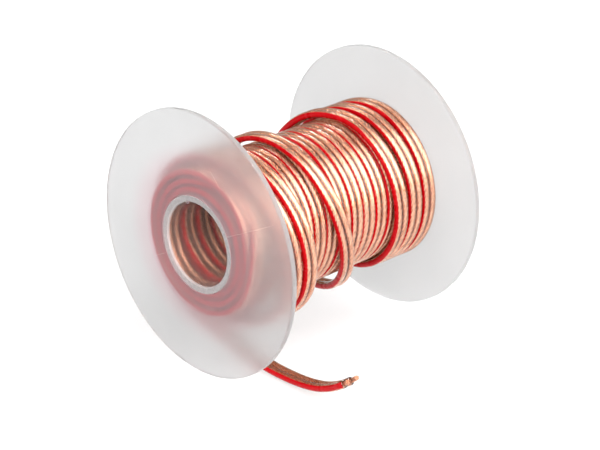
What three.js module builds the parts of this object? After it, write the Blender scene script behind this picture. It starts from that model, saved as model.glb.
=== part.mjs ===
// A small spool of clear twin speaker cable: a moulded tube with two round flanges welded on,
// the cable wound on it in layers, its last turns slack, and its cut end lying on the floor.
// Millimetres, +Z up. The spool stands on the rims of its flanges with its axis along Y, and the
// origin is on the floor under the middle of the spool.
import * as THREE from 'three';

// Driving dimensions of the spool.
const flangeDiameter = 72;
const flangeThickness = 1.6;
const rimRound = 0.35;
const overallWidth = 67;
const tubeOuterDiameter = 26.3;
const boreDiameter = 22.7;
const boreChamfer = 0.6;
const jointGap = 0.3; // between the tube's end and the hole in the flange

// Driving dimensions of the cable: two round cores side by side, joined by a web.
const coreDiameter = 2.15;
const coreSpacing = 2.2;
const webThickness = 1.5;
const conductorDiameter = 1.25;
const conductorGap = 0.2; // round each conductor in its core
const conductorBare = [1.8, 3.0]; // how far the conductors of core a and core b stand out of the cut end

// The winding: each layer is one closed ring of the outer shape of its turns.
const fullLayers = 3;
const layerLoose = 0.15; // a layer's height over the cable's own thickness, because the turns lie a little loose
const layerGap = 0.3;
const crownAllowance = 0.2; // a ring stops this far under the round crowns of its turns
const topLayerWidth = 10.9; // the unfinished top layer, against the rear flange

// The slack turns after the last wound turn: [angle round the spool's axis from +X towards +Z in degrees,
// place along the axis, how far the cable stands off the last full layer].
// They hang a little, so they touch the winding on top and stand off it below.
const slackTurns = [
  [70, 18.2, 0.15], [90, 17.5, 0.25], [120, 16.2, 0.55], [150, 14.7, 0.95], [180, 13.1, 1.45],
  [210, 11.3, 1.85], [240, 9.5, 2.15], [270, 7.6, 2.05], [300, 5.0, 1.45], [330, 1.6, 0.75],
  [360, -1.7, 0.35], [390, -4.3, 0.15], [420, -5.8, 0.15], [450, -6.5, 0.25], [480, -6.8, 0.65],
  [510, -7.2, 1.35], [540, -8.0, 2.15], [570, -9.2, 2.85], [600, -10.7, 3.35], [630, -12.1, 3.55],
  [660, -13.2, 3.35], [690, -14.2, 2.75], [720, -15.6, 1.85], [750, -17.1, 0.95], [780, -18.3, 0.35],
  [810, -19.1, 0.2], [840, -19.5, 0.55], [870, -19.6, 1.55], [900, -19.6, 2.45], [930, -19.4, 3.05],
  [960, -19.2, 3.45], [990, -19.0, 3.55], [1020, -19.0, 3.25], [1050, -19.3, 2.55], [1080, -20.6, 1.55],
  [1110, -22.1, 0.75], [1140, -23.4, 0.35], [1170, -24.1, 0.35], [1200, -24.5, 0.85], [1230, -24.6, 1.75],
  [1260, -24.5, 2.75], [1290, -24.1, 4.45], [1310, -23.1, 5.95], [1328, -21.6, 7.45],
];
// The tail, from the underside of the last slack turn to the cut end: [x, y, height over the floor].
// It lies on the floor for a few centimetres and its end curls up, as wound cable does.
const tail = [
  [-2.2, -20.3, 5.2], [4.6, -20.0, 2.9], [11.6, -20.0, 1.5], [19.5, -20.0, 1.25], [27.0, -20.0, 1.8],
  [32.8, -20.0, 3.05], [38.2, -20.0, 5.4], [42.6, -20.0, 8.3], [44.6, -20.0, 9.9],
];
// Where one slack piece ends and the next begins, as shares of the whole route, and their steps.
const slackPieces = [
  { name: 'slack_turn_1', from: 0, to: 0.303, steps: 28 },
  { name: 'slack_turn_2', from: 0.303, to: 0.57, steps: 26 },
  { name: 'slack_turn_3', from: 0.57, to: 0.86, steps: 28 },
];
const tailPiece = { from: 0.86, to: 1, steps: 16 };
const pieceGap = 0.3; // between the end faces of neighbouring pieces

// Facets of the round pieces. A facet, and not an edge, faces the floor.
const facets = 72;
const coreSides = 8;

// Sizes that follow.
const halfFacet = Math.PI / facets;
const flangeRadius = flangeDiameter / 2;
const axisHeight = flangeRadius * Math.cos(halfFacet);
const halfWidth = overallWidth / 2;
const tubeRadius = tubeOuterDiameter / 2;
const boreRadius = boreDiameter / 2;
const windingHalfWidth = halfWidth - flangeThickness - layerGap;
const layerHeight = coreDiameter + layerLoose;
const windingRadius = tubeRadius + fullLayers * layerHeight;
const conductorChannel = conductorDiameter + 2 * conductorGap;

// The plastics and the cable's own colours.
const polypropylene = new THREE.MeshStandardMaterial({ color: '#e4e6e8', roughness: 0.5, metalness: 0 });
const clearCable = new THREE.MeshStandardMaterial({ color: '#d98c68', roughness: 0.25, metalness: 0.4 });
const copper = new THREE.MeshStandardMaterial({ color: '#c77a52', roughness: 0.3, metalness: 1 });

const spool = new THREE.Group();

// Adds a named mesh to a group.
function addPiece(group, name, geometry, material) {
  const mesh = new THREE.Mesh(geometry, material);
  mesh.name = name;
  group.add(mesh);
  return mesh;
}

// A ring round the Y axis from a closed outline of [radius, y] corners.
function ringGeometry(corners) {
  const outline = corners.map(([radius, y]) => new THREE.Vector2(radius, y));
  outline.push(outline[0].clone());
  return new THREE.LatheGeometry(outline, facets, halfFacet, Math.PI * 2);
}

// The tube that the cable is wound on. Its ends lie flush in the flanges' holes, and the bore is
// chamfered at both ends.
function tubeGeometry() {
  return ringGeometry([
    [boreRadius, -halfWidth + boreChamfer], [boreRadius + boreChamfer, -halfWidth],
    [tubeRadius, -halfWidth], [tubeRadius, halfWidth],
    [boreRadius + boreChamfer, halfWidth], [boreRadius, halfWidth - boreChamfer],
  ]);
}

// A flange with a rounded rim, from its outer face at y = 0 to its inner face at y = thickness.
function flangeGeometry() {
  const hole = tubeRadius + jointGap;
  const rim = [0, 30, 60, 90].map((degrees) => {
    const angle = THREE.MathUtils.degToRad(degrees);
    return [Math.sin(angle), Math.cos(angle)].map((share) => rimRound * (1 - share));
  });
  const outerEdge = rim.map(([a, b]) => [flangeRadius - b, a]).reverse();
  const innerEdge = rim.map(([a, b]) => [flangeRadius - b, flangeThickness - a]);
  return ringGeometry([[hole, 0], ...outerEdge, ...innerEdge, [hole, flangeThickness]]);
}

// The ring that one layer of turns fills.
function layerGeometry(layer, yStart, yEnd) {
  const inner = tubeRadius + layerGap + layer * layerHeight;
  const outer = tubeRadius + (layer + 1) * layerHeight - crownAllowance;
  const corner = (outer - inner) / 3;
  return ringGeometry([
    [inner, yStart], [outer - corner, yStart], [outer, yStart + corner],
    [outer, yEnd - corner], [outer - corner, yEnd], [inner, yEnd],
  ]);
}

// A stretch of a route along which a flat cable is swept. Its width stays in line with the spool's
// axis, so the cable lies flat on the winding and on the floor without a twist.
class FlatCablePath extends THREE.Curve {
  constructor(route, from, to) {
    super();
    this.route = route;
    this.from = from;
    this.to = to;
  }

  getPoint(t, target = new THREE.Vector3()) {
    return this.route.getPointAt(THREE.MathUtils.lerp(this.from, this.to, t), target);
  }

  computeFrenetFrames(segments) {
    const frames = { tangents: [], normals: [], binormals: [] };
    for (let i = 0; i <= segments; i += 1) {
      const tangent = this.getTangentAt(i / segments);
      const across = new THREE.Vector3(0, -1, 0).addScaledVector(tangent, tangent.y).normalize();
      frames.tangents.push(tangent);
      frames.normals.push(across);
      frames.binormals.push(new THREE.Vector3().crossVectors(tangent, across));
    }
    return frames;
  }
}

// A circle of coreSides corners whose middle is at `across` on the cable's width.
function corePath(radius, across) {
  const circle = new THREE.Path();
  for (let i = 0; i < coreSides; i += 1) {
    const angle = (i / coreSides) * Math.PI * 2;
    const corner = [across + radius * Math.cos(angle), radius * Math.sin(angle)];
    if (i === 0) circle.moveTo(...corner);
    else circle.lineTo(...corner);
  }
  circle.closePath();
  return circle;
}

// The cable's section: two cores and the web between them.
function cableSection() {
  const radius = coreDiameter / 2;
  const middle = coreSpacing / 2;
  const half = webThickness / 2;
  const diagonal = radius * Math.SQRT1_2;
  const corners = [
    [middle + radius, 0], [middle + diagonal, diagonal], [middle, radius], [0, half],
    [-middle, radius], [-middle - diagonal, diagonal], [-middle - radius, 0],
    [-middle - diagonal, -diagonal], [-middle, -radius], [0, -half],
    [middle, -radius], [middle + diagonal, -diagonal],
  ];
  return new THREE.Shape(corners.map(([x, y]) => new THREE.Vector2(x, y)));
}

// Sweeps a section along part of the route.
function sweep(section, route, piece, startTrim, endTrim) {
  const length = route.getLength();
  const path = new FlatCablePath(route, piece.from + startTrim / length, piece.to - endTrim / length);
  return new THREE.ExtrudeGeometry(section, { steps: piece.steps, bevelEnabled: false, extrudePath: path });
}

// The whole route of the cable after the winding, as one smooth curve in the spool's own frame.
function slackRoute() {
  const turns = slackTurns.map(([degrees, y, standOff]) => {
    const angle = THREE.MathUtils.degToRad(degrees);
    const radius = windingRadius + standOff + coreDiameter / 2;
    return new THREE.Vector3(radius * Math.cos(angle), y, axisHeight + radius * Math.sin(angle));
  });
  const end = tail.map(([x, y, height]) => new THREE.Vector3(x, y, height));
  const route = new THREE.CatmullRomCurve3([...turns, ...end], false, 'centripetal');
  route.arcLengthDivisions = 4000;
  return route;
}

// The spool's own pieces turn round the axis, so they are made on it and lifted to its height.
const onAxis = new THREE.Group();
onAxis.position.z = axisHeight;
spool.add(onAxis);

addPiece(onAxis, 'hub_tube', tubeGeometry(), polypropylene);
addPiece(onAxis, 'front_flange', flangeGeometry(), polypropylene).position.y = -halfWidth;
addPiece(onAxis, 'rear_flange', flangeGeometry(), polypropylene).position.y = halfWidth - flangeThickness;

for (let layer = 0; layer < fullLayers; layer += 1) {
  const geometry = layerGeometry(layer, -windingHalfWidth, windingHalfWidth);
  addPiece(onAxis, `winding_layer_${layer + 1}`, geometry, clearCable);
}
const topLayer = layerGeometry(fullLayers, windingHalfWidth - topLayerWidth, windingHalfWidth);
addPiece(onAxis, `winding_layer_${fullLayers + 1}`, topLayer, clearCable);

// The slack turns, each a plain flat cable, and the tail, whose sleeve holds its two conductors.
const route = slackRoute();
for (const piece of slackPieces) {
  const geometry = sweep(cableSection(), route, piece, pieceGap / 2, pieceGap / 2);
  addPiece(spool, piece.name, geometry, clearCable);
}

const sleeve = cableSection();
sleeve.holes = [coreSpacing / 2, -coreSpacing / 2].map((across) => corePath(conductorChannel / 2, across));
const longestBare = Math.max(...conductorBare);
addPiece(spool, 'tail_sleeve', sweep(sleeve, route, tailPiece, pieceGap / 2, longestBare), clearCable);

['a', 'b'].forEach((core, i) => {
  const across = (i === 0 ? 1 : -1) * (coreSpacing / 2);
  const section = new THREE.Shape(corePath(conductorDiameter / 2, across).getPoints());
  const trim = longestBare - conductorBare[i];
  addPiece(spool, `tail_conductor_${core}`, sweep(section, route, tailPiece, pieceGap / 2, trim), copper);
});

export default spool;
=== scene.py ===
"""A small frosted spool of clear twin speaker cable, standing on its two flanges, in metres.

The cable is one length: it runs from the tube outwards through four layers, then through three slack
turns, and lies on the floor with its cut end bare. The spool's axis is along Y and the floor is at z = 0.
"""

import bmesh
import bpy
import numpy as np
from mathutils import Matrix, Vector


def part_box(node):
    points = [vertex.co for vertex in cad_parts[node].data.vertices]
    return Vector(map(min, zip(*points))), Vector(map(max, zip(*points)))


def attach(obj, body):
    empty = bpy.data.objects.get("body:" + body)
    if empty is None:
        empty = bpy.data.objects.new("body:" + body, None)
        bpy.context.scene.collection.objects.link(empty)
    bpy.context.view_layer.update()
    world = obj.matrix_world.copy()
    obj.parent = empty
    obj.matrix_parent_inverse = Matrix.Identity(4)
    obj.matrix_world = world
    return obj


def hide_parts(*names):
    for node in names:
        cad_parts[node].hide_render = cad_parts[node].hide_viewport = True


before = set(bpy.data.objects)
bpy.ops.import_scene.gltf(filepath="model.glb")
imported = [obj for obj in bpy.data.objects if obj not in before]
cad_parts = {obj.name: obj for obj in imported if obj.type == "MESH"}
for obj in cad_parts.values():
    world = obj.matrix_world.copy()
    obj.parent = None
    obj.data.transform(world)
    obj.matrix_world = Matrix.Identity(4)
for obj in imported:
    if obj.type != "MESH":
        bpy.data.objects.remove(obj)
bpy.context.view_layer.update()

# ---------------------------------------------------------------------------------------------------
# The camera. It stands to the right of the spool and a little above it, far enough away for a long
# lens, so that the two flanges look nearly the same size.
# ---------------------------------------------------------------------------------------------------
flange_low, flange_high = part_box("front_flange")
axis_height = (flange_low.z + flange_high.z) / 2
flange_radius = (flange_high.z - flange_low.z) / 2
spool_middle = Vector((0, 0, axis_height))

camera_azimuth, camera_elevation = np.radians(46.97), np.radians(24.20)
camera_distance = 19.352 * flange_radius
aim_right, aim_down = 0.00204, 0.00442
towards_camera = Vector((
    np.sin(camera_azimuth) * np.cos(camera_elevation),
    -np.cos(camera_azimuth) * np.cos(camera_elevation),
    np.sin(camera_elevation),
))
camera_right = Vector((np.cos(camera_azimuth), np.sin(camera_azimuth), 0))
camera_up = towards_camera.cross(camera_right)
aim = spool_middle + camera_right * aim_right - camera_up * aim_down

camera_data = bpy.data.cameras.new("camera")
camera_data.lens = 159.1
camera_data.sensor_width = 36
camera = bpy.data.objects.new("camera", camera_data)
camera.location = spool_middle + towards_camera * camera_distance
camera.rotation_euler = (aim - camera.location).to_track_quat("-Z", "Y").to_euler()
bpy.context.scene.collection.objects.link(camera)
bpy.context.scene.camera = camera

# ---------------------------------------------------------------------------------------------------
# The twin cable's route. One length of figure-8 cable, 2 x 0.75 mm2, wound by machine in even layers
# that run from flange to flange and back, then loosened by hand so that its last turns hang slack.
# ---------------------------------------------------------------------------------------------------
core_diameter = 0.00215
core_spacing = 0.00220
cable_width = core_spacing + core_diameter
layer_height = core_diameter + 0.00015
tube_low, tube_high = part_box("hub_tube")
tube_radius = (tube_high.z - tube_low.z) / 2
flange_thickness = flange_high.y - flange_low.y
winding_reach = tube_high.y - flange_thickness - cable_width / 2 - 0.0001
winding_radius = tube_radius + 3 * layer_height

# The pitch of the three full layers, and the fourth layer as [angle in degrees, place along the axis].
layer_pitches = [0.0050, 0.0046, 0.0044]
top_layer = np.array([
    [-870, 0.0296], [-630, 0.0296], [-545, 0.0251], [-280, 0.0243], [-185, 0.02075],
    [-45, 0.0203], [-20, 0.0198], [0, 0.01925], [40, 0.0186], [68, 0.0182],
])

# The slack turns: [angle round the axis in degrees, place along it, stand-off from the last full layer].
slack_turns = np.array([
    [70, 0.0182, 0.00015], [90, 0.0175, 0.00025], [120, 0.0162, 0.00055], [150, 0.0147, 0.00095],
    [180, 0.0131, 0.00145], [210, 0.0113, 0.00185], [240, 0.0095, 0.00215], [270, 0.0076, 0.00205],
    [300, 0.0050, 0.00145], [330, 0.0016, 0.00075], [360, -0.0017, 0.00035], [390, -0.0043, 0.00015],
    [420, -0.0058, 0.00015], [450, -0.0065, 0.00025], [480, -0.0068, 0.00065], [510, -0.0072, 0.00135],
    [540, -0.0080, 0.00215], [570, -0.0092, 0.00285], [600, -0.0107, 0.00335], [630, -0.0121, 0.00355],
    [660, -0.0132, 0.00335], [690, -0.0142, 0.00275], [720, -0.0156, 0.00185], [750, -0.0171, 0.00095],
    [780, -0.0183, 0.00035], [810, -0.0191, 0.00020], [840, -0.0195, 0.00055], [870, -0.0196, 0.00155],
    [900, -0.0196, 0.00245], [930, -0.0194, 0.00305], [960, -0.0192, 0.00345], [990, -0.0190, 0.00355],
    [1020, -0.0190, 0.00325], [1050, -0.0193, 0.00255], [1080, -0.0206, 0.00155], [1110, -0.0221, 0.00075],
    [1140, -0.0234, 0.00035], [1170, -0.0241, 0.00035], [1200, -0.0245, 0.00085], [1230, -0.0246, 0.00175],
    [1260, -0.0245, 0.00275], [1290, -0.0241, 0.00445], [1310, -0.0231, 0.00595], [1328, -0.0216, 0.00745],
])
# The tail, from the underside of the last slack turn to the cut end.
tail = np.array([
    [-0.0022, -0.0203, 0.0052], [0.0046, -0.0200, 0.0029], [0.0116, -0.0200, 0.0015],
    [0.0195, -0.0200, 0.00125], [0.0270, -0.0200, 0.0018], [0.0328, -0.0200, 0.00305],
    [0.0382, -0.0200, 0.0054], [0.0426, -0.0200, 0.0083], [0.0446, -0.0200, 0.0099],
])


def wound_knots():
    """Angle in degrees, place along the axis and radius at each change of the wound turns, outwards.

    In a full layer the first turn lies against its flange, the cable crosses by one pitch, runs at that
    pitch to the other flange, crosses again, lies against it and then climbs onto the layer below it.
    Each of these is a share of a turn. On the bare tube the first crossing is slower."""
    first_ring, last_ring, climb = 0.86, 0.74, 0.14
    crossing, slow_crossing = 0.12, 0.7
    above_tube = 0.00003
    start, knots, turns = -winding_reach, [], 0.0
    radius = tube_radius + core_diameter / 2 + above_tube
    for layer, pitch in enumerate(layer_pitches):
        step = np.sign(-start) * pitch
        knots.append((turns * 360, start, radius))
        turns += first_ring
        knots.append((turns * 360, start, radius))
        turns += crossing if layer > 0 else slow_crossing
        knots.append((turns * 360, start + step, radius))
        turns += (2 * winding_reach - 2 * pitch) / pitch
        knots.append((turns * 360, -start - step, radius))
        turns += crossing
        knots.append((turns * 360, -start, radius))
        turns += last_ring
        knots.append((turns * 360, -start, radius))
        turns += climb
        start, radius = -start, radius + layer_height
    knots = np.array(knots)
    knots[:, 0] += top_layer[0, 0] - turns * 360
    top = np.column_stack([top_layer, np.full(len(top_layer), radius)])
    return np.vstack([knots, top])


def rounded(values, reach):
    """A moving average over reach samples each way, with the ends held."""
    padded = np.concatenate([np.full(reach, values[0]), values, np.full(reach, values[-1])])
    return np.convolve(padded, np.full(2 * reach + 1, 1 / (2 * reach + 1)), mode="valid")


def on_axis(degrees, y, radius):
    """Points round the spool's axis: the radius times the cosine of the angle goes along X, and the radius
    times its sine goes up from the axis."""
    angle = np.radians(degrees)
    return np.stack([radius * np.cos(angle), y, axis_height + radius * np.sin(angle)], axis=1)


def lengths_along(line):
    """How far along the line each of its points is: the sum of the chords before it."""
    return np.concatenate([[0], np.cumsum(np.linalg.norm(np.diff(line, axis=0), axis=1))])


def resampled(line, step):
    """The same line with its points an even step apart."""
    along = lengths_along(line)
    places = np.linspace(0, along[-1], int(round(along[-1] / step)) + 1)
    return np.stack([np.interp(places, along, line[:, i]) for i in range(3)], axis=1)


def smooth_curve(points, step):
    """A centripetal Catmull-Rom curve through the points, resampled at an even step.

    Each span blends its four nearest points; the knots are spaced by the square root of the distance."""
    samples = 24
    ends = np.vstack([2 * points[0] - points[1], points, 2 * points[-1] - points[-2]])
    p0, p1, p2, p3 = ends[:-3, None], ends[1:-2, None], ends[2:-1, None], ends[3:, None]
    chords = ((p0, p1), (p1, p2), (p2, p3))
    gap = [np.sqrt(np.linalg.norm(b - a, axis=2, keepdims=True)) for a, b in chords]
    t1, t2, t3 = gap[0], gap[0] + gap[1], gap[0] + gap[1] + gap[2]
    t = t1 + (t2 - t1) * np.linspace(0, 1, samples, endpoint=False)[None, :, None]
    a1 = (t1 - t) / t1 * p0 + t / t1 * p1
    a2 = (t2 - t) / (t2 - t1) * p1 + (t - t1) / (t2 - t1) * p2
    a3 = (t3 - t) / (t3 - t2) * p2 + (t - t2) / (t3 - t2) * p3
    b1 = (t2 - t) / t2 * a1 + t / t2 * a2
    b2 = (t3 - t) / (t3 - t1) * a2 + (t - t1) / (t3 - t1) * a3
    curve = ((t2 - t) / (t2 - t1) * b1 + (t - t1) / (t2 - t1) * b2).reshape(-1, 3)
    return resampled(np.vstack([curve, points[-1]]), step)


# Away from the flanges the wound cable sways a little along the axis, three times a turn.
turn_step = 5.0
sway, sway_within = 0.00012, 0.027
knots = wound_knots()
turn_angles = np.arange(knots[0, 0], knots[-1, 0] - turn_step / 2, turn_step)
wound_y = rounded(np.interp(turn_angles, knots[:, 0], knots[:, 1]), 3)
wound_y += sway * np.sin(np.radians(3 * turn_angles + 40)) * (np.abs(wound_y) < sway_within)
wound_radius = rounded(np.interp(turn_angles, knots[:, 0], knots[:, 2]), 4)
wound_line = on_axis(turn_angles, wound_y, wound_radius)
slack_radius = winding_radius + slack_turns[:, 2] + core_diameter / 2
slack_line = np.vstack([on_axis(slack_turns[:, 0], slack_turns[:, 1], slack_radius), tail])
route_step = 0.0018
route = smooth_curve(np.vstack([wound_line, slack_line]), route_step)
route_lengths = lengths_along(route)
cable_length = route_lengths[-1]

# The two conductors stand out of the cut sleeve by these lengths, and the sleeve covers the rest.
bare = [0.0018, 0.0030]
ring_places = np.arange(len(route)) * cable_length / (len(route) - 1)
covered = route[ring_places <= cable_length - max(bare)]

# ---------------------------------------------------------------------------------------------------
# The cable's sleeve. It is clear soft PVC, extruded round both conductors in one pass, so that its
# section is a figure 8. It holds the conductors side by side from end to end.
# ---------------------------------------------------------------------------------------------------
core_radius = core_diameter / 2
half_spacing = core_spacing / 2


def frames_along(line):
    """Tangent, width and outward directions at each point. The width is as near -Y as the tangent lets."""
    tangent = np.gradient(line, axis=0)
    tangent /= np.linalg.norm(tangent, axis=1, keepdims=True)
    across = np.array([0.0, -1.0, 0.0]) + tangent * tangent[:, 1:2]
    across /= np.linalg.norm(across, axis=1, keepdims=True)
    return tangent, across, np.cross(tangent, across)


def new_piece(name, points, faces):
    """A smooth-shaded piece with these points and faces, at the origin."""
    mesh = bpy.data.meshes.new(name)
    mesh.from_pydata(points.tolist(), [], faces)
    mesh.update()
    mesh.polygons.foreach_set("use_smooth", np.ones(len(mesh.polygons), bool))
    piece = bpy.data.objects.new(name, mesh)
    bpy.context.scene.collection.objects.link(piece)
    return piece


def sweep_mesh(name, line, sections):
    """Carries a closed section along the line. sections holds a width and an outward place for each ring
    and corner: a point is its place on the line, plus width times the width direction, plus outward times
    the outward direction. Quads join neighbouring rings, and a face closes each end. Each point also keeps
    its length along the line and the number of its corner, for patterns that follow the cable."""
    _, across, outward = frames_along(line)
    rings, corners = len(line), sections.shape[1]
    points = (
        line[:, None]
        + across[:, None] * sections[..., 0:1]
        + outward[:, None] * sections[..., 1:2]
    ).reshape(-1, 3)
    ring, corner = np.meshgrid(np.arange(rings - 1), np.arange(corners), indexing="ij")
    after = (corner + 1) % corners
    quads = np.stack([
        ring * corners + corner, ring * corners + after,
        (ring + 1) * corners + after, (ring + 1) * corners + corner,
    ], axis=-1).reshape(-1, 4)
    first_end = list(range(corners))[::-1]
    last_end = [(rings - 1) * corners + i for i in range(corners)]
    piece = new_piece(name, points, [*quads.tolist(), first_end, last_end])
    kept_values = {
        "along": np.repeat(lengths_along(line), corners),
        "corner": np.tile(np.arange(corners), rings),
    }
    for label, values in kept_values.items():
        stored = piece.data.attributes.new(label, "FLOAT", "POINT")
        stored.data.foreach_set("value", values.astype(np.float32))
    return piece


def linear(hex_colour):
    """An sRGB hex colour as linear red, green, blue and alpha."""
    srgb = np.array([int(hex_colour[i : i + 2], 16) for i in (1, 3, 5)]) / 255
    rgb = np.where(srgb <= 0.04045, srgb / 12.92, ((srgb + 0.055) / 1.055) ** 2.4)
    return (*rgb.tolist(), 1.0)


def new_material(name):
    """A material with only its output and a principled shader, and that shader."""
    material = bpy.data.materials.new(name)
    material.use_nodes = True
    return material, material.node_tree.nodes["Principled BSDF"]


def set_inputs(material, node, inputs):
    """Gives each of these inputs its value, or links it where an output socket stands for the value."""
    for key, value in inputs.items():
        if isinstance(value, bpy.types.NodeSocket):
            material.node_tree.links.new(value, node.inputs[key])
        else:
            node.inputs[key].default_value = value


def add_node(material, kind, inputs=None, stops=(), **settings):
    """Adds a node of this kind with its settings, its inputs and the stops of its colour ramp."""
    node = material.node_tree.nodes.new("ShaderNode" + kind)
    for key, value in settings.items():
        setattr(node, key, value)
    for number, (position, colour) in enumerate(stops):
        node.color_ramp.elements[number].position = position
        node.color_ramp.elements[number].color = linear(colour)
    set_inputs(material, node, inputs or {})
    return node


def let_light_through(material, shader, tint):
    """Lets lamps light what lies behind a clear material: for a lamp's rays it is only tinted."""
    rays = add_node(material, "LightPath")
    clear = add_node(material, "BsdfTransparent", {"Color": linear(tint)})
    either = add_node(material, "MixShader", {
        0: rays.outputs["Is Shadow Ray"], 1: shader.outputs[0], 2: clear.outputs[0],
    })
    output = material.node_tree.nodes["Material Output"]
    set_inputs(material, output, {"Surface": either.outputs[0]})


# Most values of a noise pattern lie between these two. A pattern's size is written as a share of a metre,
# with its millimetres beside it, and its scale is one divided by that.
noise_low, noise_high = 0.3, 0.7

# Clear PVC, extruded: as clear and glossy as glass, with the slow ripple that the die leaves, 2.4 mm
# from swell to swell, which breaks up the highlights and blurs the copper here and there.
pvc_ripple = 1 / 420  # 2.4 mm
pvc, shader = new_material("clear_pvc_extruded")
at = add_node(pvc, "TexCoord")
ripple = add_node(pvc, "TexNoise", {
    "Vector": at.outputs["Object"], "Scale": 1 / pvc_ripple, "Detail": 2.0,
})
haze = add_node(pvc, "MapRange", {
    "Value": ripple.outputs["Fac"], "From Min": noise_low, "From Max": noise_high,
    "To Min": 0.015, "To Max": 0.06,
})
swell = add_node(pvc, "Bump", {
    "Height": ripple.outputs["Fac"], "Strength": 0.25, "Distance": 0.0002,
})
set_inputs(pvc, shader, {
    "Base Color": linear("#ffffff"), "Transmission Weight": 1.0, "IOR": 1.53,
    "Roughness": haze.outputs[0], "Normal": swell.outputs[0],
})
let_light_through(pvc, shader, "#fcfcfc")

# Each core's lobe is an arc of a circle, open where the two cores meet.
lobe = np.radians(np.linspace(-155, 155, 14))
core_lobe = np.stack([half_spacing + core_radius * np.cos(lobe), core_radius * np.sin(lobe)], axis=1)
sleeve_section = np.vstack([core_lobe, -core_lobe])
sleeve_sections = np.broadcast_to(sleeve_section, (len(covered), *sleeve_section.shape))
sleeve = sweep_mesh("cable_sleeve", covered, sleeve_sections)
sleeve.data.materials.append(pvc)
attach(sleeve, "root")
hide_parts(*[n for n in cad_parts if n.startswith(("winding_", "slack_", "tail_"))])

# ---------------------------------------------------------------------------------------------------
# The two conductors inside the sleeve. Each is a bundle of fine bare copper wires, twisted together
# and held by the sleeve. Its outside is made as twelve strands that go round it once in 18 mm.
# ---------------------------------------------------------------------------------------------------
strands = 12
lay_length = 0.018
conductor_radius = 0.00069

# Bright drawn copper, stranded: a polished metal whose strands each have a tone of their own, which
# changes every 3.8 mm or so along them. The dents between real wires would be too fine to show, so
# the dents that break up the highlights are drawn 0.6 mm apart.
tone_length = 1 / 260  # 3.8 mm
dent_size = 1 / 1700  # 0.6 mm
copper, shader = new_material("bright_stranded_copper")
corners_per_strand, strand_shift = 3.0, 5.37
along_wire = add_node(copper, "Attribute", attribute_name="along")
round_wire = add_node(copper, "Attribute", attribute_name="corner")
stretch = add_node(copper, "Math", {
    0: along_wire.outputs["Fac"], 1: 1 / tone_length,
}, operation="MULTIPLY")
strand = add_node(copper, "Math", {
    0: round_wire.outputs["Fac"], 1: corners_per_strand,
}, operation="DIVIDE")
strand = add_node(copper, "Math", {0: strand.outputs[0]}, operation="FLOOR")
strand = add_node(copper, "Math", {0: strand.outputs[0], 1: strand_shift}, operation="MULTIPLY")
place = add_node(copper, "CombineXYZ", {"X": stretch.outputs[0], "Y": strand.outputs[0]})
tone = add_node(copper, "TexNoise", {"Vector": place.outputs[0], "Scale": 1.0, "Detail": 3.0})
hue = add_node(copper, "ValToRGB", {"Fac": tone.outputs["Fac"]}, [(0.30, "#e09773"), (0.62, "#fdc7a8")])
sheen = add_node(copper, "MapRange", {
    "Value": tone.outputs["Fac"], "From Min": noise_low, "From Max": noise_high,
    "To Min": 0.30, "To Max": 0.13,
})
at = add_node(copper, "TexCoord")
grain = add_node(copper, "TexNoise", {
    "Vector": at.outputs["Object"], "Scale": 1 / dent_size, "Detail": 2.0,
})
dents = add_node(copper, "Bump", {
    "Height": grain.outputs["Fac"], "Strength": 0.5, "Distance": 0.0001,
})
set_inputs(copper, shader, {
    "Metallic": 1.0, "Base Color": hue.outputs["Color"],
    "Roughness": sheen.outputs[0], "Normal": dents.outputs[0],
})

# Each strand has three corners: the groove before it and a point to each side of its crown.
strand_angle = np.pi / strands
strand_radius = conductor_radius * np.sin(strand_angle) / (1 + np.sin(strand_angle))
strand_ring = conductor_radius - strand_radius
offsets = np.tile([-strand_angle, -strand_angle / 3, strand_angle / 3], strands)
corner_angle = np.repeat(np.arange(strands) * 2 * strand_angle, 3) + offsets
profile = strand_ring * np.cos(offsets) + np.sqrt(
    np.maximum(strand_radius**2 - (strand_ring * np.sin(offsets)) ** 2, 0)
)
turned = corner_angle[None] + route_lengths[:, None] * 2 * np.pi / lay_length
for core, side in (("a", 1), ("b", -1)):
    section = np.stack([side * half_spacing + profile * np.cos(turned), profile * np.sin(turned)], axis=-1)
    conductor = sweep_mesh(f"conductor_{core}", covered, section[: len(covered)])
    conductor.data.materials.append(copper)
    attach(conductor, "root")

# ---------------------------------------------------------------------------------------------------
# The red stripe that marks one core. It is a strip of dyed PVC, extruded into the outside of the
# clear sleeve in the same pass. It covers a quarter of the core and wanders up to 20 degrees each way.
# ---------------------------------------------------------------------------------------------------

# Red PVC, extruded with the sleeve: a full opaque colour with a soft gloss. The dye is uneven over
# 5.9 mm along the stripe, and its surface ripples every 1.1 mm.
dye_length = 1 / 170  # 5.9 mm
stripe_ripple = 1 / 900  # 1.1 mm
red, shader = new_material("red_pvc_coextruded")
along_stripe = add_node(red, "Attribute", attribute_name="along")
stretch = add_node(red, "Math", {
    0: along_stripe.outputs["Fac"], 1: 1 / dye_length,
}, operation="MULTIPLY")
place = add_node(red, "CombineXYZ", {"X": stretch.outputs[0]})
dye = add_node(red, "TexNoise", {"Vector": place.outputs[0], "Scale": 1.0, "Detail": 3.0})
hue = add_node(red, "ValToRGB", {"Fac": dye.outputs["Fac"]}, [(0.15, "#aa030c"), (0.85, "#bf0311")])
gloss = add_node(red, "MapRange", {
    "Value": dye.outputs["Fac"], "From Min": noise_low, "From Max": noise_high,
    "To Min": 0.20, "To Max": 0.34,
})
at = add_node(red, "TexCoord")
ripple = add_node(red, "TexNoise", {
    "Vector": at.outputs["Object"], "Scale": 1 / stripe_ripple, "Detail": 2.0,
})
swell = add_node(red, "Bump", {
    "Height": ripple.outputs["Fac"], "Strength": 0.2, "Distance": 0.0001,
})
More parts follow.
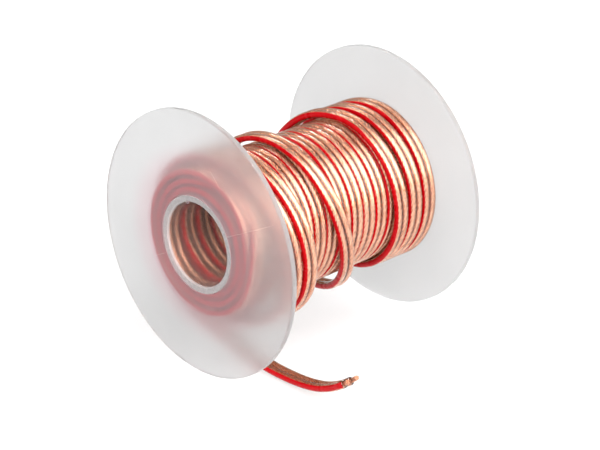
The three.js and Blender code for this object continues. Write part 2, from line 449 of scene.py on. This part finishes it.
set_inputs(red, shader, {
    "Specular IOR Level": 0.15, "Base Color": hue.outputs["Color"],
    "Roughness": gloss.outputs[0], "Normal": swell.outputs[0],
})

# The stripe's section runs along an arc just outside the sleeve and back along one inside it. Its
# wander is the sum of three sines of the length: [swing in degrees, waves as radians a metre, start].
arc = np.radians(np.linspace(-46, 44, 9))
outer_share, inner_share = 1.012, 0.90
waves = ((9, 41, 0.0), (7, 17.3, 1.2), (4, 97, 2.1))
wander = np.radians(sum(swing * np.sin(route_lengths * rate + start) for swing, rate, start in waves))
tracer_angle = np.concatenate([arc, arc[::-1]])[None] + wander[:, None]
tracer_reach = core_radius * np.repeat([outer_share, inner_share], len(arc))[None]
tracer_section = np.stack(
    [half_spacing + tracer_reach * np.cos(tracer_angle), tracer_reach * np.sin(tracer_angle)], axis=-1
)
tracer = sweep_mesh("red_tracer", covered, tracer_section[: len(covered)])
tracer.data.materials.append(red)
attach(tracer, "root")

# ---------------------------------------------------------------------------------------------------
# The bare ends. Both bundles of copper wires stand out where the sleeve was cut back, one further than
# the other. Each has nineteen wires of 0.24 mm: one in the middle, a ring of six and a ring of twelve.
# ---------------------------------------------------------------------------------------------------
wire_radius = 0.00012
wire_pitch = 0.000235
wires_inside = 0.0006
uneven_ends = 0.00016
spreading = 0.00003
ring_turn, twist_along = 0.4, 0.35


def strand_bundle(name, side, length):
    """Wires that run on from the cut. A point on one is the cut's place, plus its share of the wire's
    length along the cable, plus its ring's distance from the middle at the wire's own angle. Along the
    wire the distance grows a little and the angle turns by a third of a radian."""
    tangent, across, outward = (row[-1] for row in frames_along(route))
    cut = covered[-1] - tangent * wires_inside + across * side * half_spacing
    steps, corners = 10, 8
    t = np.linspace(0, 1, steps)[:, None]
    wires = []
    for number in range(19):
        ring = 0 if number == 0 else 1 if number < 7 else 2
        turn = number * 2 * np.pi / (6 if ring == 1 else 12) + ring * ring_turn
        run = length + wires_inside + uneven_ends * np.sin(number * 2.4)
        spread = ring * (wire_pitch + spreading * t * (1 + np.sin(number * 1.7)))
        twist = turn + t * twist_along
        sideways = across * spread * np.cos(twist) + outward * spread * np.sin(twist)
        wires.append(cut + tangent * run * t + sideways)
    corner = np.arange(corners) * 2 * np.pi / corners
    section = wire_radius * np.stack([np.cos(corner), np.sin(corner)], axis=1)
    sections = np.broadcast_to(section, (steps, corners, 2))
    pieces = [sweep_mesh(name, wire, sections) for wire in wires]
    with bpy.context.temp_override(active_object=pieces[0], selected_editable_objects=pieces):
        bpy.ops.object.join()
    bundle = pieces[0]
    bundle.data.materials.append(copper)
    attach(bundle, "root")
    return bundle


bundles = [strand_bundle("bare_strands_a", 1, bare[0]), strand_bundle("bare_strands_b", -1, bare[1])]

# ---------------------------------------------------------------------------------------------------
# The two flanges. They are thin discs of natural polypropylene, injection moulded with a fine matt
# texture and a rounded rim, taken as pressed onto the tube's ends and welded there.
# ---------------------------------------------------------------------------------------------------
rim_round = 0.00035
hole_gap = 0.00004
hole_chamfer = 0.00012
rim_support = 0.0001
bend = np.radians(np.linspace(0, 90, 5))


def revolved(name, outline):
    """Turns a closed outline of radius and place along Y round the spool's axis: a point is the radius
    times the cosine of the turn along X, the same place along Y, and the radius times the sine upwards.
    Quads join neighbouring turns. Edges over 30 degrees stay sharp, and the faces point outwards."""
    segments, sharp_over = 192, np.radians(30)
    angle = np.arange(segments) * 2 * np.pi / segments
    radius, y = outline.T
    points = np.stack(np.broadcast_arrays(
        radius[None] * np.cos(angle)[:, None], y[None], axis_height + radius[None] * np.sin(angle)[:, None]
    ), axis=-1).reshape(-1, 3)
    count = len(radius)
    turn, corner = np.meshgrid(np.arange(segments), np.arange(count), indexing="ij")
    after, next_turn = (corner + 1) % count, (turn + 1) % segments
    faces = np.stack([
        turn * count + corner, turn * count + after,
        next_turn * count + after, next_turn * count + corner,
    ], axis=-1).reshape(-1, 4)
    piece = new_piece(name, points, faces.tolist())
    piece.data.set_sharp_from_angle(angle=sharp_over)
    solid = bmesh.new()
    solid.from_mesh(piece.data)
    bmesh.ops.recalc_face_normals(solid, faces=solid.faces)
    solid.to_mesh(piece.data)
    solid.free()
    return piece


def flange_outline(y_out, inwards):
    """The outer face, the rounded rim, the inner face and the hole, in order. The rim is two quarter
    circles: a point is in from the rim by the rounding times one minus the angle's sine, and back from
    the face by the rounding times one minus its cosine. A ring close to the rim keeps each face flat."""
    hole = tube_radius + hole_gap
    rim_in, face_back = rim_round * (1 - np.sin(bend)), rim_round * (1 - np.cos(bend))
    edge_out = np.stack([flange_radius - rim_in, face_back], axis=1)
    edge_in = np.stack([edge_out[::-1, 0], flange_thickness - edge_out[::-1, 1]], axis=1)
    flat_end = flange_radius - rim_round - rim_support
    rows = np.vstack([
        [hole, hole_chamfer], [hole + hole_chamfer, 0], [flat_end, 0], edge_out, edge_in,
        [flat_end, flange_thickness], [hole, flange_thickness],
    ])
    rows[:, 1] = y_out + inwards * rows[:, 1]
    return rows


# Natural polypropylene, injection moulded and matt: milky and see-through, so that the cable shows
# soft behind it. Its haze varies in clouds of 14 mm. The mould's fine texture is drawn at 0.38 mm,
# coarser than the real one, so that it shows. Its index is below the real 1.49, so that it bends and
# blurs what is behind it less.
cloud_size = 1 / 70  # 14 mm
grain_size = 1 / 2600  # 0.38 mm
polypropylene, shader = new_material("natural_polypropylene_moulded")
at = add_node(polypropylene, "TexCoord")
cloud = add_node(polypropylene, "TexNoise", {
    "Vector": at.outputs["Object"], "Scale": 1 / cloud_size, "Detail": 4.0,
})
milk = add_node(polypropylene, "ValToRGB", {
    "Fac": cloud.outputs["Fac"],
}, [(noise_low, "#d0d0d0"), (noise_high, "#d4d4d4")])
frost = add_node(polypropylene, "MapRange", {
    "Value": cloud.outputs["Fac"], "From Min": noise_low, "From Max": noise_high,
    "To Min": 0.38, "To Max": 0.45,
})
grain = add_node(polypropylene, "TexNoise", {
    "Vector": at.outputs["Object"], "Scale": 1 / grain_size, "Detail": 2.0,
})
from_axis = add_node(polypropylene, "VectorMath", {
    0: at.outputs["Object"], 1: (0, 0, axis_height),
}, operation="SUBTRACT")

# A weld line where the melt met on both sides of the hole, and one scratch, all on the front flange's
# outer face: [direction in degrees, distance from the axis, start and end along it, half its width].
fade_in, fade_out, face_depth = 0.001, 0.003, 0.0003
lines = []
for direction, aside, start, end, half_width in (
    (27.5, 0.0, 0.0130, 0.0332, 0.00016),
    (207.5, 0.0, 0.0134, 0.0189, 0.00014),
    (-46.2, 0.0197, -0.0127, -0.0058, 0.00012),
):
    cosine, sine = np.cos(np.radians(direction)), np.sin(np.radians(direction))
    run = add_node(polypropylene, "VectorMath", {
        0: from_axis.outputs[0], 1: (cosine, 0, sine),
    }, operation="DOT_PRODUCT")
    off = add_node(polypropylene, "VectorMath", {
        0: from_axis.outputs[0], 1: (-sine, 0, cosine),
    }, operation="DOT_PRODUCT")
    off = add_node(polypropylene, "Math", {0: off.outputs["Value"], 1: aside}, operation="SUBTRACT")
    off = add_node(polypropylene, "Math", {0: off.outputs[0]}, operation="ABSOLUTE")
    near = add_node(polypropylene, "MapRange", {
        "Value": off.outputs[0], "From Min": 0.0, "From Max": half_width, "To Min": 1.0, "To Max": 0.0,
    }, interpolation_type="SMOOTHSTEP")
    past = add_node(polypropylene, "MapRange", {
        "Value": run.outputs["Value"], "From Min": start, "From Max": start + fade_in,
    })
    before = add_node(polypropylene, "MapRange", {
        "Value": run.outputs["Value"], "From Min": end - fade_out, "From Max": end,
        "To Min": 1.0, "To Max": 0.0,
    })
    line = add_node(polypropylene, "Math", {0: past.outputs[0], 1: before.outputs[0]}, operation="MULTIPLY")
    line = add_node(polypropylene, "Math", {0: line.outputs[0], 1: near.outputs[0]}, operation="MULTIPLY")
    lines.append(line)
line = lines[0]
for other in lines[1:]:
    line = add_node(polypropylene, "Math", {0: line.outputs[0], 1: other.outputs[0]}, operation="MAXIMUM")
where = add_node(polypropylene, "SeparateXYZ", {"Vector": at.outputs["Object"]})
outside = add_node(polypropylene, "Math", {
    0: where.outputs["Y"], 1: flange_low.y + face_depth,
}, operation="LESS_THAN")
line = add_node(polypropylene, "Math", {0: line.outputs[0], 1: outside.outputs[0]}, operation="MULTIPLY")
grain_share = 0.12
height = add_node(polypropylene, "Math", {
    0: grain.outputs["Fac"], 1: grain_share, 2: line.outputs[0],
}, operation="MULTIPLY_ADD")
relief = add_node(polypropylene, "Bump", {
    "Height": height.outputs[0], "Strength": 0.5, "Distance": 0.00012,
})

# Painted red glow: the red light of the cable behind is painted into the plastic's colour, most over
# the full layers that press against it, and on the front flange less and less out to the slack turns. All
# three are distances from the axis.
pressed_full, pressed_end, beside_end = 0.0188, 0.0200, 0.0275
flat = add_node(polypropylene, "VectorMath", {0: from_axis.outputs[0], 1: (1, 0, 1)}, operation="MULTIPLY")
axis_distance = add_node(polypropylene, "VectorMath", {0: flat.outputs[0]}, operation="LENGTH")
pressed = add_node(polypropylene, "MapRange", {
    "Value": axis_distance.outputs["Value"], "From Min": pressed_full, "From Max": pressed_end,
    "To Min": 0.9, "To Max": 0.0,
})
beside = add_node(polypropylene, "MapRange", {
    "Value": axis_distance.outputs["Value"], "From Min": pressed_end, "From Max": beside_end,
    "To Min": 0.55, "To Max": 0.0,
}, interpolation_type="SMOOTHSTEP")
front_half = add_node(polypropylene, "Math", {0: where.outputs["Y"], 1: 0.0}, operation="LESS_THAN")
beside = add_node(polypropylene, "Math", {
    0: beside.outputs[0], 1: front_half.outputs[0],
}, operation="MULTIPLY")
red_glow_share = add_node(polypropylene, "Math", {0: pressed.outputs[0], 1: beside.outputs[0]}, operation="MAXIMUM")
# The pink tint multiplied in here is painted light: the red glow of the cable seen through the plastic.
painted_red_glow = add_node(polypropylene, "Mix", {
    "Factor": red_glow_share.outputs[0], "A": milk.outputs["Color"], "B": linear("#ffe3e8"),
}, data_type="RGBA", blend_type="MULTIPLY")
streak = add_node(polypropylene, "Mix", {
    "Factor": line.outputs[0], "A": painted_red_glow.outputs["Result"], "B": linear("#f9f9f9"),
}, data_type="RGBA")
set_inputs(polypropylene, shader, {
    "Transmission Weight": 0.87, "IOR": 1.25, "Base Color": streak.outputs["Result"],
    "Roughness": frost.outputs[0], "Normal": relief.outputs[0],
})
let_light_through(polypropylene, shader, "#f7f7f7")

for name, node, y_out, inwards in (
    ("flange_front", "front_flange", flange_low.y, 1),
    ("flange_rear", "rear_flange", tube_high.y, -1),
):
    flange = revolved(name, flange_outline(y_out, inwards))
    flange.data.materials.append(polypropylene)
    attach(flange, "root")
    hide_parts(node)

# ---------------------------------------------------------------------------------------------------
# The hub tube that the cable is wound on. It is clear polypropylene, extruded, sawn to length and
# chamfered a little at its ends, and both flanges sit on it. Its bore takes the spindle.
# ---------------------------------------------------------------------------------------------------
bore_radius = 0.01135

# Clear polypropylene, extruded: clearer than the flanges, frosted just enough to soften the copper
# behind it, with draw lines along the tube, 1.1 mm apart and 33 mm long. Real ones are too fine to
# show. Its index, and that of the sawn ends, is below the real 1.49 for the flanges' reason.
draw_line_gap = 1 / 900  # 1.1 mm
draw_line_length = 1 / 30  # 33 mm
tube_plastic, shader = new_material("clear_polypropylene_extruded")
at = add_node(tube_plastic, "TexCoord")
drawn = add_node(tube_plastic, "Mapping", {
    "Vector": at.outputs["Object"], "Scale": (1 / draw_line_gap, 1 / draw_line_length, 1 / draw_line_gap),
})
draw_lines = add_node(tube_plastic, "TexNoise", {"Vector": drawn.outputs[0], "Scale": 1.0, "Detail": 3.0})
# The plastic's warm tint is painted light: a painted glow of the copper round the bore. It varies along the
# draw lines.
painted_copper_glow = add_node(tube_plastic, "ValToRGB", {
    "Fac": draw_lines.outputs["Fac"],
}, [(noise_low, "#f7ebe6"), (noise_high, "#fcf1ec")])
frost = add_node(tube_plastic, "MapRange", {
    "Value": draw_lines.outputs["Fac"], "From Min": noise_low, "From Max": noise_high,
    "To Min": 0.36, "To Max": 0.46,
})
relief = add_node(tube_plastic, "Bump", {
    "Height": draw_lines.outputs["Fac"], "Strength": 0.15, "Distance": 0.0001,
})
set_inputs(tube_plastic, shader, {
    "Transmission Weight": 0.97, "IOR": 1.36, "Base Color": painted_copper_glow.outputs["Color"],
    "Roughness": frost.outputs[0], "Normal": relief.outputs[0],
})
let_light_through(tube_plastic, shader, "#fafafa")

# Sawn polypropylene: the saw's chatter of 0.77 mm leaves the tube's ends dull and whitish. The edge of the
# bore is painted whiter still, a painted highlight where its chamfer catches the light.
chatter_size = 1 / 1300  # 0.77 mm
highlight_edge_full, highlight_edge_end = 0.0002, 0.0004
cut_plastic, shader = new_material("sawn_polypropylene_end")
at = add_node(cut_plastic, "TexCoord")
chatter = add_node(cut_plastic, "TexNoise", {
    "Vector": at.outputs["Object"], "Scale": 1 / chatter_size, "Detail": 3.0,
})
tone = add_node(cut_plastic, "ValToRGB", {
    "Fac": chatter.outputs["Fac"],
}, [(noise_low, "#cbc8c8"), (noise_high, "#e2e0e0")])
dull = add_node(cut_plastic, "MapRange", {
    "Value": chatter.outputs["Fac"], "From Min": noise_low, "From Max": noise_high,
    "To Min": 0.4, "To Max": 0.6,
})
relief = add_node(cut_plastic, "Bump", {
    "Height": chatter.outputs["Fac"], "Strength": 0.4, "Distance": 0.0001,
})
from_axis = add_node(cut_plastic, "VectorMath", {
    0: at.outputs["Object"], 1: (0, 0, axis_height),
}, operation="SUBTRACT")
flat = add_node(cut_plastic, "VectorMath", {0: from_axis.outputs[0], 1: (1, 0, 1)}, operation="MULTIPLY")
axis_distance = add_node(cut_plastic, "VectorMath", {0: flat.outputs[0]}, operation="LENGTH")
# Painted highlight: the ring just outside the bore is painted near white, as if its chamfer caught the
# light.
edge = add_node(cut_plastic, "MapRange", {
    "Value": axis_distance.outputs["Value"], "From Min": bore_radius + highlight_edge_full,
    "From Max": bore_radius + highlight_edge_end, "To Min": 1.0, "To Max": 0.0,
})
with_painted_highlight = add_node(cut_plastic, "Mix", {
    "Factor": edge.outputs[0], "A": tone.outputs["Color"], "B": linear("#fcfafa"),
}, data_type="RGBA")
set_inputs(cut_plastic, shader, {
    "Transmission Weight": 0.6, "IOR": 1.3, "Base Color": with_painted_highlight.outputs["Result"],
    "Roughness": dull.outputs[0], "Normal": relief.outputs[0],
})
let_light_through(cut_plastic, shader, "#e7e7e7")

# One end of the tube as [radius, distance from the end's plane], from the bore to the outside.
half_tube = tube_high.y
end_outline = np.array([
    [bore_radius, 0.0008], [bore_radius + 0.0002, 0.0003], [bore_radius + 0.0006, 0.0001],
    [tube_radius - 0.0001, 0.0001], [tube_radius, 0.0002],
])
front_end = end_outline * (1, 1) + (0, -half_tube)
rear_end = end_outline * (1, -1) + (0, half_tube)
tube = revolved("tube", np.vstack([front_end, rear_end[::-1]]))
tube.data.materials.append(tube_plastic)
tube.data.materials.append(cut_plastic)

# Faces that look along the axis are the sawn ones.
sawn_over = 0.3
facing = np.empty(len(tube.data.polygons) * 3)
tube.data.polygons.foreach_get("normal", facing)
tube.data.polygons.foreach_set("material_index", (np.abs(facing[1::3]) > sawn_over).astype(np.int32))
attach(tube, "root")
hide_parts("hub_tube")

# ---------------------------------------------------------------------------------------------------
# The nib on the bore's front edge. It is a ragged crumb of the flanges' polypropylene, at most a
# millimetre across, that was left hanging there when the spool was made.
# ---------------------------------------------------------------------------------------------------
nib_half_sizes = (0.00048, 0.00030, 0.00032)
nib_angle, nib_depth, nib_inwards = 108.0, 0.0004, 0.00012
nib_place = on_axis(
    np.array([nib_angle]), np.array([-half_tube + nib_depth]), np.array([bore_radius - nib_inwards])
)

# A ball, made ragged: each point's distance is multiplied by one plus 0.24 times a sine of its x and a
# cosine of its z and y.
ball = bmesh.new()
bmesh.ops.create_icosphere(ball, subdivisions=3, radius=1)
ball.verts.index_update()
ball_points = np.array([corner.co[:] for corner in ball.verts])
ball_faces = [[corner.index for corner in face.verts] for face in ball.faces]
ball.free()
x, y, z = ball_points[:, 0:1], ball_points[:, 1:2], ball_points[:, 2:3]
ragged = 1 + 0.24 * np.sin(5 * x + 1) * np.cos(7 * z + 3 * y)
nib = new_piece("mould_nib", ball_points * ragged * nib_half_sizes + nib_place, ball_faces)
nib.data.materials.append(polypropylene)
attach(nib, "root")

# ---------------------------------------------------------------------------------------------------
# The floor. It is a sheet of white paper that runs far past the spool on every side. It glows a little
# of its own, so that it stays white away from the lamps.
# ---------------------------------------------------------------------------------------------------
floor_reach = 6
floor_corners = np.array([[-1, -1, 0], [1, -1, 0], [1, 1, 0], [-1, 1, 0]]) * floor_reach
floor = new_piece("floor", floor_corners, [(0, 1, 2, 3)])
paper, shader = new_material("white_paper")
set_inputs(paper, shader, {
    "Base Color": linear("#b3b3b3"), "Emission Color": linear("#ffffff"), "Emission Strength": 0.5,
    "Roughness": 0.9, "Specular IOR Level": 0.0,
})
floor.data.materials.append(paper)

# ---------------------------------------------------------------------------------------------------
# The lights. A big softbox stands on the right and another in front, with a small card and a narrow
# strip on the left, and the surround is an even white.
# ---------------------------------------------------------------------------------------------------
world = bpy.data.worlds.new("studio")
bpy.context.scene.world = world
world.use_nodes = True
surround = world.node_tree.nodes["Background"]
surround.inputs["Color"].default_value = linear("#ffffff")
surround.inputs["Strength"].default_value = 0.25


def softbox(name, direction, distance, width, height, radiance):
    """A flat area light that faces the spool from this direction. Its power is the radiance times pi
    times its area."""
    data = bpy.data.lights.new(name, "AREA")
    data.shape = "RECTANGLE"
    data.size = width
    data.size_y = height
    data.energy = radiance * np.pi * width * height
    light = bpy.data.objects.new(name, data)
    away = Vector(direction).normalized()
    light.location = spool_middle + away * distance
    light.rotation_euler = away.to_track_quat("Z", "Y").to_euler()
    bpy.context.scene.collection.objects.link(light)


softbox("softbox_right", (0.72, 0.25, 0.66), distance=1.0, width=1.8, height=1.25, radiance=3.6)
softbox("softbox_front", (0.2, -0.85, 0.5), distance=1.2, width=1.2, height=1.2, radiance=2.6)
softbox("card_left", (-0.6, -0.45, 0.62), distance=1.0, width=0.34, height=0.34, radiance=3.0)
softbox("strip_left", (-0.55, 0.35, 0.75), distance=1.0, width=0.7, height=0.06, radiance=22)

bpy.context.scene.view_settings.view_transform = "Standard"
